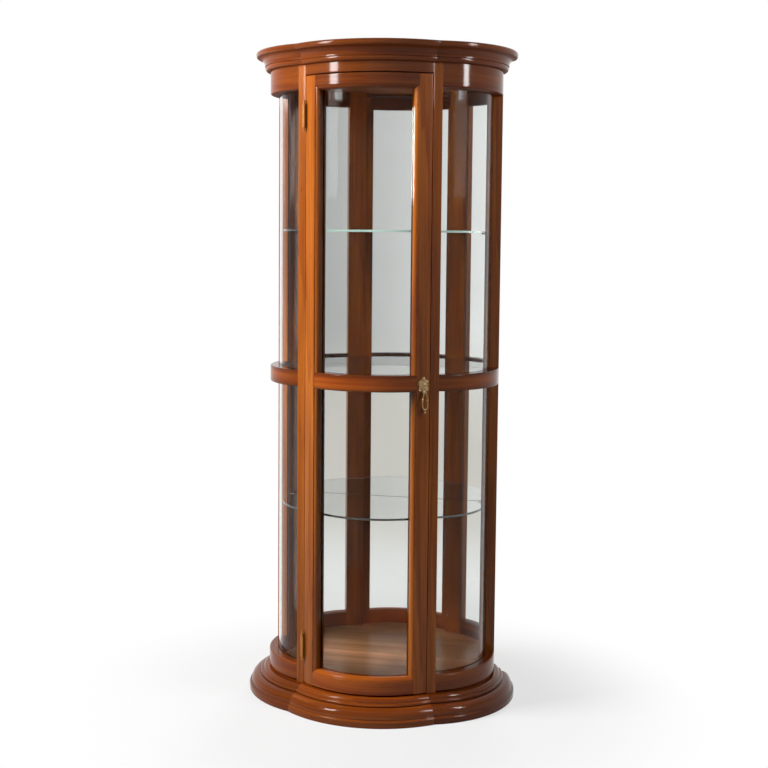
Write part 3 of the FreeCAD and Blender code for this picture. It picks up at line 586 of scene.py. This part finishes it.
def mirror_material():
    f = finishes()
    made, tree, shader, _ = fresh_material("silvered_mirror")
    marks = use(tree, "handling", Vector=object_coordinates(tree), Least=0.004, Most=0.030)
    haze = calc(tree, "MULTIPLY", marks["Mask"], 0.35)
    feed(tree, shader.inputs["Base Color"], mixed(tree, haze, rgba(f.silver), (0.74, 0.75, 0.74, 1.0)))
    feed(tree, shader.inputs["Roughness"], marks["Value"])
    shader.inputs["Metallic"].default_value = 1.0
    return made


def metal_material(name, bright, aged, least, most):
    """Metal that is bright on its arrises and dull in its hollows."""
    if name in bpy.data.materials:
        return bpy.data.materials[name]
    made, tree, shader, _ = fresh_material(name)
    here = object_coordinates(tree)
    marks = use(tree, "handling", Vector=vector_calc(tree, "MULTIPLY", here, (9.0, 9.0, 9.0)),
                Least=least, Most=most)
    wear = use(tree, "arris_wear", Radius=METAL_ARRIS,
               Vector=vector_calc(tree, "MULTIPLY", here, (6.0, 6.0, 6.0)))
    dull = calc(tree, "ADD", calc(tree, "MULTIPLY", marks["Mask"], 0.55), wear["Recess"], clamp=True)
    body = mixed(tree, dull, rgba(bright), rgba(aged))
    feed(tree, shader.inputs["Base Color"], mixed(tree, wear["Rubbed"], body, rgba(bright)))
    feed(tree, shader.inputs["Roughness"], marks["Value"])
    shader.inputs["Metallic"].default_value = 1.0
    bump = put(tree, "Bump")
    bump.inputs["Strength"].default_value = 0.15
    bump.inputs["Distance"].default_value = 0.0003
    feed(tree, bump.inputs["Height"], marks["Mask"])
    feed(tree, bump.inputs["Normal"], wear["Normal"])
    feed(tree, shader.inputs["Normal"], bump.outputs[0])
    return made


def brass_material():
    f = finishes()
    return metal_material("aged_brass", f.brass_bright, f.brass_aged, 0.20, 0.42)


def hinge_material():
    """Brass under old lacquer, close to the wood in tone."""
    f = finishes()
    return metal_material("lacquered_brass", f.hinge_bright, f.hinge_aged, 0.42, 0.58)


def steel_material():
    f = finishes()
    return metal_material("plain_steel", f.steel, [0.55 * c for c in f.steel], 0.28, 0.45)


def dress(names, material):
    """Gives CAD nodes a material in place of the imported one."""
    for name in names:
        node = NODES[name]
        if not node.material_slots:
            node.data.materials.append(material)
        for place in node.material_slots:
            place.material = material


# Surfaces worked out as arrays

def shell(rings, loop=False):
    """Closed skin over an array of rings (ring, step round it, xyz), wound so that it faces outwards.

    A loop joins the last ring to the first; otherwise the first and last rings have shrunk to a point each.
    """
    count, around = rings.shape[:2]
    step = np.arange(around)
    after = np.roll(step, -1)
    if loop:
        points = rings.reshape(-1, 3)
        low = np.arange(count)[:, None] * around
        high = np.roll(np.arange(count), -1)[:, None] * around
        faces = np.stack([low + step, low + after, high + after, high + step], -1).reshape(-1, 4)
        fans = np.empty((0, 3), int)
    else:
        points = np.vstack([rings[0, :1], rings[1:-1].reshape(-1, 3), rings[-1, :1]])
        low = 1 + np.arange(count - 3)[:, None] * around
        faces = np.stack([low + step, low + after, low + around + after, low + around + step], -1)
        faces = faces.reshape(-1, 4)
        last, top = len(points) - 1, 1 + (count - 3) * around
        fans = np.vstack([np.stack([0 * step, after + 1, step + 1], -1),
                          np.stack([0 * step + last, top + step, top + after], -1)])
    split = np.vstack([faces[:, [0, 1, 2]], faces[:, [0, 2, 3]], fans])
    corner = points[split] - points.mean(0)
    volume = np.einsum("ij,ij->i", corner[:, 0], np.cross(corner[:, 1], corner[:, 2])).sum()
    if volume < 0:
        faces, fans = faces[:, ::-1], fans[:, ::-1]
    return points, faces, fans


def spun(along, radius, origin, axis, around=48):
    """Turned form: at each distance along the axis, a circle of that radius about it."""
    axis = np.asarray(axis, float) / np.linalg.norm(axis)
    side = np.cross(axis, (0.0, 0.0, 1.0) if abs(axis[2]) < 0.9 else (1.0, 0.0, 0.0))
    side /= np.linalg.norm(side)
    other = np.cross(axis, side)
    angle = np.linspace(0, 2 * np.pi, around, endpoint=False)
    circle = np.cos(angle)[:, None] * side + np.sin(angle)[:, None] * other
    centre = np.asarray(origin) + along[:, None] * axis
    return shell(centre[:, None, :] + radius[:, None, None] * circle[None])


def bump_at(value, place, width):
    """Smooth hump of height one at a place, with that half width."""
    return np.exp(-((value - place) / width) ** 2)


def ball_at(value, place, radius):
    """Outline of a ball: the height of a circle of that radius over its diameter, and none beyond it."""
    return np.sqrt(np.clip(radius ** 2 - (value - place) ** 2, 0, None))


def make_piece(name, shells, material, body, slot, *replaced):
    """One object from closed shells, riding on a body and standing for its CAD nodes."""
    points, faces, start = [], [], 0
    for spots, quads, fans in shells:
        points.append(spots)
        faces += (quads + start).tolist() + (fans + start).tolist()
        start += len(spots)
    mesh = bpy.data.meshes.new(name)
    mesh.from_pydata(np.vstack(points), [], faces)
    mesh.polygons.foreach_set("use_smooth", np.ones(len(mesh.polygons), bool))
    mesh.materials.append(material)
    mesh.update()
    made = bpy.data.objects.new(name, mesh)
    bpy.context.scene.collection.objects.link(made)
    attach(made, body)
    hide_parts(*replaced)


def on_front_bow(sideways, height, proud):
    """Places on the bowed front, by run along it from the pull's bearing, height, and distance off it."""
    s = sizes()
    bearing = math.atan2(SWING_ACROSS[1], SWING_ACROSS[0]) + sideways / s.front_radius
    reach = s.front_radius + proud
    return np.stack([s.front_axis[0] + reach * np.sin(bearing),
                     s.front_axis[1] - reach * np.cos(bearing), height], -1)


def plate_shell():
    """Scalloped oval plate, as rings from its middle out over the rim and back to the middle behind.

    The oval's radius swells with the cosine of lobes times the angle.  The face lies 1.7 mm off the wood
    and carries a domed boss, a ring of petals, a hollow and a beaded rim, each a smooth hump of the share
    of the radius; petals and beads also vary with the angle.
    """
    s = sizes()
    angle = np.linspace(0, 2 * np.pi, 240, endpoint=False)[None]
    share = np.concatenate([np.linspace(0, 0.985, 46), [1.0, 1.0], np.linspace(1.0, 0.0, 5)])[:, None]
    swing = (1 + 0.11 * np.cos(s.plate_lobes * angle)) / 1.11
    boss = 2.6 * np.sqrt(np.clip(1 - (share / 0.36) ** 2, 0, 1)) + 0.7 * bump_at(share, 0.40, 0.035)
    petals = 1.25 * bump_at(share, 0.63, 0.15) * np.abs(np.cos(s.plate_lobes * angle)) ** 0.7
    beads = 1.15 * bump_at(share, 0.91, 0.055) * (0.55 + 0.45 * np.cos(8 * s.plate_lobes * angle))
    hollow = 0.45 * bump_at(share, 0.80, 0.05)
    proud = (1.7 + boss + petals + beads - hollow + 0 * angle) * 0.001
    proud[46:48] = np.array([[1.5], [0.15]]) * 0.001
    proud[48:] = 0.00015
    sideways = s.plate_half_width * share * swing * np.sin(angle)
    height = s.plate_height + s.plate_half_height * share * swing * np.cos(angle)
    return shell(on_front_bow(sideways, height, proud))


def stud_shell():
    """Turned stud: a stem with two rings at its foot, a thin neck and a ball that carries the drop."""
    along = np.linspace(-0.022, 0.0043, 90)
    stem = 0.0028 + 0.0022 * bump_at(along, -0.0082, 0.0010) + 0.0014 * bump_at(along, -0.0058, 0.0007)
    stem -= 0.0008 * bump_at(along, -0.0042, 0.0010)
    radius = np.maximum(np.where(along < -0.001, stem, 0), ball_at(along, 0.0, 0.0043))
    radius[[0, -1]] = 0
    outwards = np.cross(SWING_ACROSS, (0.0, 0.0, 1.0))
    return spun(along, radius, SWING_SPOT, outwards, 40)


def drop_shells():
    """Pear-shaped loop of wire with its pendant.

    The loop hangs in the plane of the bar: its fall is half of one minus the cosine of the turn, and its
    width the sine of the turn, narrow at the bar and full low down.  The wire thickens towards the foot and
    has a ring on each side.  The pendant is a turned collar, neck, ball and tip.
    """
    s = sizes()
    turn = np.linspace(0, 2 * np.pi, 160, endpoint=False)
    fall = (1 - np.cos(turn)) / 2
    sideways = s.drop_half_width * np.sin(turn) * (0.72 + 0.34 * fall + 0.10 * np.cos(2 * turn))
    down = -(s.drop_length - 0.004) * fall
    path = SWING_SPOT + sideways[:, None] * SWING_ACROSS + down[:, None] * np.array([0.0, 0.0, 1.0])
    ahead = np.roll(path, -1, 0) - np.roll(path, 1, 0)
    ahead /= np.linalg.norm(ahead, axis=1)[:, None]
    outwards = np.cross(SWING_ACROSS, (0.0, 0.0, 1.0))
    aside = np.cross(ahead, outwards)
    wire = s.drop_wire * (0.80 + 0.42 * fall ** 2 + 0.55 * bump_at(fall, 0.46, 0.030)
                          + 0.30 * bump_at(fall, 0.38, 0.022) + 0.30 * bump_at(fall, 0.54, 0.022))
    angle = np.linspace(0, 2 * np.pi, 20, endpoint=False)
    ring = np.cos(angle)[None, :, None] * aside[:, None] + np.sin(angle)[None, :, None] * outwards
    loop = shell(path[:, None] + wire[:, None, None] * ring, loop=True)
    along = np.linspace(0.0, 0.0126, 70)
    knob = 0.0016 + 0.0016 * bump_at(along, 0.0020, 0.0008) + 0 * along
    knob = np.maximum(np.where(along < 0.0045, knob, 0), ball_at(along, 0.0072, 0.0036))
    knob = np.maximum(knob, ball_at(along, 0.0113, 0.0013))
    knob[[0, -1]] = 0
    foot = SWING_SPOT - np.array([0.0, 0.0, s.drop_length - 0.0045])
    return [loop, spun(along, knob, foot, (0.0, 0.0, -1.0), 36)]


def hinge_pin_shell(level):
    """Turned hinge pin, alike above and below: by distance from its middle, core, collar, ball and tip."""
    half = sizes().pin_half
    along = np.linspace(-half, half, 260)
    far = np.abs(along)
    radius = np.where(far < 0.0300, 0.00245, 0.0)
    end = far - 0.0301
    collar = 0.0033 * (1 - 0.42 * np.clip(end / 0.006, 0, 1)) + 0.0009 * bump_at(end, 0.0009, 0.0007)
    collar += 0.0004 * bump_at(end, 0.0032, 0.0005)
    radius = np.where((end >= 0) & (end < 0.0076), collar, radius)
    radius = np.maximum(radius, ball_at(end, 0.0090, 0.0030))
    radius = np.maximum(radius, ball_at(end, 0.0121, 0.0013))
    radius[[0, -1]] = 0
    return spun(along, radius, (HINGE_SPOT[0], HINGE_SPOT[1], level), (0.0, 0.0, 1.0), 40)


def screw_shell(spot, inwards, upright, head, length):
    """Slotted screw, as rings from the middle of its head over the edge, down the shank and to its point.

    The head's crown is a shallow dome of the share of the radius, cut down by the slot near one diameter.
    """
    inwards = np.asarray(inwards, float)
    upright = np.asarray(upright, float)
    aside = np.cross(inwards, upright)
    angle = np.linspace(0, 2 * np.pi, 48, endpoint=False)[None]
    share = np.concatenate([np.linspace(0, 1, 24), [1.0, 0.5, 0.5, 0.0]])[:, None]
    crown = -0.16 * (1 - np.linspace(0, 1, 24) ** 2)
    depth = np.concatenate([crown, [0.45, 0.6, 1.0, 1.0]])[:, None] * head
    depth = np.broadcast_to(depth, (len(share), angle.shape[1])).copy()
    depth[-2:] = length
    slot = np.abs(share * np.cos(angle + 0.5)) < 0.13
    depth[:23] = np.where(slot[:23], 0.24 * head, depth[:23])
    circle = np.cos(angle)[..., None] * aside + np.sin(angle)[..., None] * upright
    return shell(np.asarray(spot) + share[..., None] * head * circle + depth[..., None] * inwards)


# Operators

class CABINET_OT_groups(bpy.types.Operator):
    """Build the shared grain, wear and handling node groups"""

    bl_idname = "cabinet.groups"
    bl_label = "Shared finishes"

    def execute(self, context):
        for build in (bow_run_group, cherry_grain_group, arris_wear_group, handling_group):
            build()
        return {"FINISHED"}


class CABINET_OT_uprights(bpy.types.Operator):
    """Dress the posts and the door's stiles, with upright grain"""

    bl_idname = "cabinet.uprights"
    bl_label = "Posts and stiles"

    def execute(self, context):
        dress(UPRIGHTS, wood_material("cherry_upright", "up"))
        return {"FINISHED"}


class CABINET_OT_bows(bpy.types.Operator):
    """Dress the bowed plinth, cornice, rails and friezes, with the grain along the bow"""

    bl_idname = "cabinet.bows"
    bl_label = "Bowed rails and mouldings"

    def execute(self, context):
        dress(FRONT_BOWS, bow_material("front"))
        for side in ("left", "right"):
            dress([name + "_" + side for name in SIDE_BOWS], bow_material(side))
        return {"FINISHED"}


class CABINET_OT_boards(bpy.types.Operator):
    """Dress the floor, ceiling, top and back boards"""

    bl_idname = "cabinet.boards"
    bl_label = "Boards and back"

    def execute(self, context):
        f = finishes()
        dress(BOARDS, wood_material("cherry_board", "across"))
        dress(["floor_board"], wood_material("cherry_floor", "across", pale=f.floor_pale, deep=f.floor_deep,
                                             gloss=0.22))
        dress(["back_panel"], wood_material("backing_ply", "up", pale=f.backing_pale, deep=f.backing_deep,
                                            gloss=0.55))
        return {"FINISHED"}


class CABINET_OT_glass(bpy.types.Operator):
    """Dress the bent panes, the shelves and the mirror"""

    bl_idname = "cabinet.glass"
    bl_label = "Glass, shelves and mirror"

    def execute(self, context):
        dress(PANES, glass_material("clear_pane", False))
        dress(SHELVES, glass_material("shelf_glass", True))
        dress(["mirror"], mirror_material())
        return {"FINISHED"}


class CABINET_OT_hinges(bpy.types.Operator):
    """Dress the hinges and turn their pins with finials"""

    bl_idname = "cabinet.hinges"
    bl_label = "Hinges"

    def execute(self, context):
        brass = hinge_material()
        dress(HINGES + ("hinge_screws_post", "hinge_screws_door"), brass)
        dress(["shelf_pins"], brass_material())
        for level in ("upper", "lower"):
            low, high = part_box("hinge_pin_" + level)
            make_piece("turned_pin_" + level, [hinge_pin_shell((low.z + high.z) / 2)], brass, "carcase",
                       "brass", "hinge_pin_" + level)
        return {"FINISHED"}


class CABINET_OT_pull(bpy.types.Operator):
    """Make the scalloped plate, the stud and the hanging drop of the door pull"""

    bl_idname = "cabinet.pull"
    bl_label = "Door pull"

    def execute(self, context):
        brass = brass_material()
        make_piece("scalloped_plate", [plate_shell()], brass, "door", "brass", "pull_plate")
        make_piece("turned_stud", [stud_shell()], brass, "door", "brass", "pull_stud")
        make_piece("pear_drop", drop_shells(), brass, "drop", "brass", "pull_drop")
        return {"FINISHED"}


class CABINET_OT_fixings(bpy.types.Operator):
    """Dress the catches and make the slotted screws of the back panel"""

    bl_idname = "cabinet.fixings"
    bl_label = "Catches and screws"

    def execute(self, context):
        steel = steel_material()
        dress(("catch_magnets", "catch_strikes"), steel)
        head, length = sizes().screw_head, sizes().screw_length
        low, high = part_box("back_screws")
        rows = np.linspace(low.z + head, high.z - head, 5)
        spots = [(side * (high.x - head), high.y, row) for side in (-1, 1) for row in rows]
        screws = [screw_shell(spot, (0.0, -1.0, 0.0), (0.0, 0.0, 1.0), head, length) for spot in spots]
        make_piece("slotted_back_screws", screws, steel, "carcase", "steel", "back_screws")
        return {"FINISHED"}


def softbox(name, degrees, heights, width, power):
    """Upright lamp at a bearing from straight ahead, between two heights, facing the cabinet."""
    lamp = bpy.data.lights.new(name, "AREA")
    lamp.shape = "RECTANGLE"
    lamp.size, lamp.size_y = width, heights[1] - heights[0]
    lamp.energy = power
    made = bpy.data.objects.new(name, lamp)
    bearing = math.radians(degrees)
    made.location = (LAMP_DISTANCE * math.sin(bearing), -LAMP_DISTANCE * math.cos(bearing),
                     sum(heights) / 2)
    made.rotation_euler = (math.pi / 2, 0.0, bearing)
    made.visible_camera = False
    bpy.context.scene.collection.objects.link(made)
    return made


def background_share(tree, path):
    """One for rays that show the background, straight or in glass and metal, and none for bounced light."""
    seen = calc(tree, "ADD", path.outputs["Is Camera Ray"],
                calc(tree, "ADD", path.outputs["Is Glossy Ray"], path.outputs["Is Transmission Ray"]),
                clamp=True)
    return calc(tree, "MULTIPLY", seen, calc(tree, "LESS_THAN", path.outputs["Diffuse Depth"], 0.5))


def stage_floor():
    """Wide floor: pale and matt round the cabinet, even further off, a little greyer to the front."""
    mesh = bpy.data.meshes.new("floor")
    corners = [(x * FLOOR_REACH, y * FLOOR_REACH, 0) for x, y in ((-1, -1), (1, -1), (1, 1), (-1, 1))]
    mesh.from_pydata(corners, [], [(0, 1, 2, 3)])
    made, tree, shader, out = fresh_material("studio_floor")
    parts = put(tree, "SeparateXYZ")
    here = object_coordinates(tree)
    feed(tree, parts.inputs[0], here)
    tone = stage_values().floor_colour
    path = put(tree, "LightPath")
    even = mixed(tree, noise(tree, here, 2.0), rgba(tone), rgba([0.97 * c for c in tone]))
    bounced = rgba([0.25 * c for c in tone])
    feed(tree, shader.inputs["Base Color"], mixed(tree, path.outputs["Is Diffuse Ray"], even, bounced))
    shader.inputs["Roughness"].default_value = 0.9
    shader.inputs["Specular IOR Level"].default_value = 0.1
    ahead = calc(tree, "MULTIPLY", parts.outputs[1], -1.0)
    reached = vector_calc(tree, "LENGTH", here)
    apart = calc(tree, "MAXIMUM", reached, 0.1)
    behind = span(tree, calc(tree, "DIVIDE", parts.outputs[1], apart), *BEHIND)
    aside = span(tree, calc(tree, "DIVIDE", parts.outputs[0], apart), *ASIDE)
    near = mixed(tree, span(tree, ahead, *FRONT_FADE), WHITE, FRONT_TONE)
    horizon = mixed(tree, behind, aside, WHITE)
    pale = mixed(tree, span(tree, reached, *FAR_FADE), near, horizon)
    glow = put(tree, "Emission")
    feed(tree, glow.inputs["Color"], pale)
    away = span(tree, reached, *SHADOW_FADE)
    share = calc(tree, "MULTIPLY", away, background_share(tree, path))
    choice = put(tree, "MixShader")
    for socket, source in zip(choice.inputs, (share, shader.outputs[0], glow.outputs[0])):
        tree.links.new(source, socket)
    tree.links.new(choice.outputs[0], out.inputs["Surface"])
    mesh.materials.append(made)
    floor = bpy.data.objects.new("floor", mesh)
    bpy.context.scene.collection.objects.link(floor)


def stage_world():
    """Room light: white behind the cabinet, grey that darkens upwards in front, even for diffuse rays."""
    world = bpy.data.worlds.new("studio")
    world.use_nodes = True
    tree = world.node_tree
    tree.nodes.clear()
    parts = put(tree, "SeparateXYZ")
    feed(tree, parts.inputs[0], put(tree, "TexCoord").outputs["Generated"])
    front = calc(tree, "MULTIPLY", span(tree, parts.outputs[0], *ASIDE),
                 span(tree, parts.outputs[2], *ALOFT))
    behind = span(tree, parts.outputs[1], *BEHIND)
    level = calc(tree, "ADD", calc(tree, "MULTIPLY", front, calc(tree, "SUBTRACT", 1.0, behind)), behind)
    tint = put(tree, "CombineColor")
    for socket in tint.inputs:
        feed(tree, socket, level)
    seen, even = put(tree, "Background"), put(tree, "Background")
    feed(tree, seen.inputs["Color"], tint.outputs[0])
    even.inputs["Color"].default_value = (1.0, 0.98, 0.95, 1.0)
    even.inputs["Strength"].default_value = stage_values().ambient
    share = background_share(tree, put(tree, "LightPath"))
    choice = put(tree, "MixShader")
    for socket, source in zip(choice.inputs, (share, even.outputs[0], seen.outputs[0])):
        tree.links.new(source, socket)
    out = put(tree, "OutputWorld")
    tree.links.new(choice.outputs[0], out.inputs["Surface"])
    bpy.context.scene.world = world


class CABINET_OT_stage(bpy.types.Operator):
    """Set the floor, the lamps, the room light and the camera"""

    bl_idname = "cabinet.stage"
    bl_label = "Stage"

    def execute(self, context):
        stage = stage_values()
        stage_floor()
        stage_world()
        powers = (stage.key_power, stage.fill_power, stage.back_power)
        for (name, degrees), power in zip(BROAD_BEARINGS.items(), powers):
            broad = softbox(name, degrees, BROAD_HEIGHTS, BROAD_WIDTH, power)
            broad.visible_glossy = False
        for name, degrees, width in STRIPS:
            strip = softbox(name, degrees, STRIP_HEIGHTS, width, stage.strip_power * width)
            strip.visible_diffuse = False
        lens = bpy.data.cameras.new("camera")
        lens.sensor_width = 36.0
        lens.lens = stage.camera_lens
        lens.shift_y = stage.camera_shift
        camera = bpy.data.objects.new("camera", lens)
        turn = (Matrix.Rotation(stage.camera_bearing, 4, "Z")
                @ Matrix.Rotation(math.pi / 2 - stage.camera_pitch, 4, "X")
                @ Matrix.Rotation(stage.camera_roll, 4, "Z"))
        camera.matrix_world = Matrix.Translation(stage.camera_spot) @ turn
        context.scene.collection.objects.link(camera)
        context.scene.camera = camera
        context.scene.view_settings.view_transform = "Standard"
        return {"FINISHED"}


OPERATORS = (CABINET_OT_groups, CABINET_OT_uprights, CABINET_OT_bows, CABINET_OT_boards, CABINET_OT_glass,
             CABINET_OT_hinges, CABINET_OT_pull, CABINET_OT_fixings, CABINET_OT_stage)


class CABINET_PT_sidebar(bpy.types.Panel):
    """Lists the cabinet's steps in the sidebar"""

    bl_idname = "CABINET_PT_sidebar"
    bl_label = "Display cabinet"
    bl_space_type = "VIEW_3D"
    bl_region_type = "UI"
    bl_category = "Cabinet"

    def draw(self, context):
        for operator in OPERATORS:
            self.layout.operator(operator.bl_idname)


SETTINGS = (("cabinet_sizes", CabinetSizes), ("cabinet_finishes", CabinetFinishes),
            ("cabinet_stage", CabinetStage))


def register():
    for name, kind in SETTINGS:
        bpy.utils.register_class(kind)
        setattr(bpy.types.Scene, name, PointerProperty(type=kind))
    for kind in OPERATORS + (CABINET_PT_sidebar,):
        bpy.utils.register_class(kind)


def unregister():
    for kind in reversed(OPERATORS + (CABINET_PT_sidebar,)):
        bpy.utils.unregister_class(kind)
    for name, kind in reversed(SETTINGS):
        delattr(bpy.types.Scene, name)
        bpy.utils.unregister_class(kind)


def main():
    register()
    for step in ("groups", "uprights", "bows", "boards", "glass", "hinges", "pull", "fixings", "stage"):
        getattr(bpy.ops.cabinet, step)()


if __name__ == "__main__":
    main()
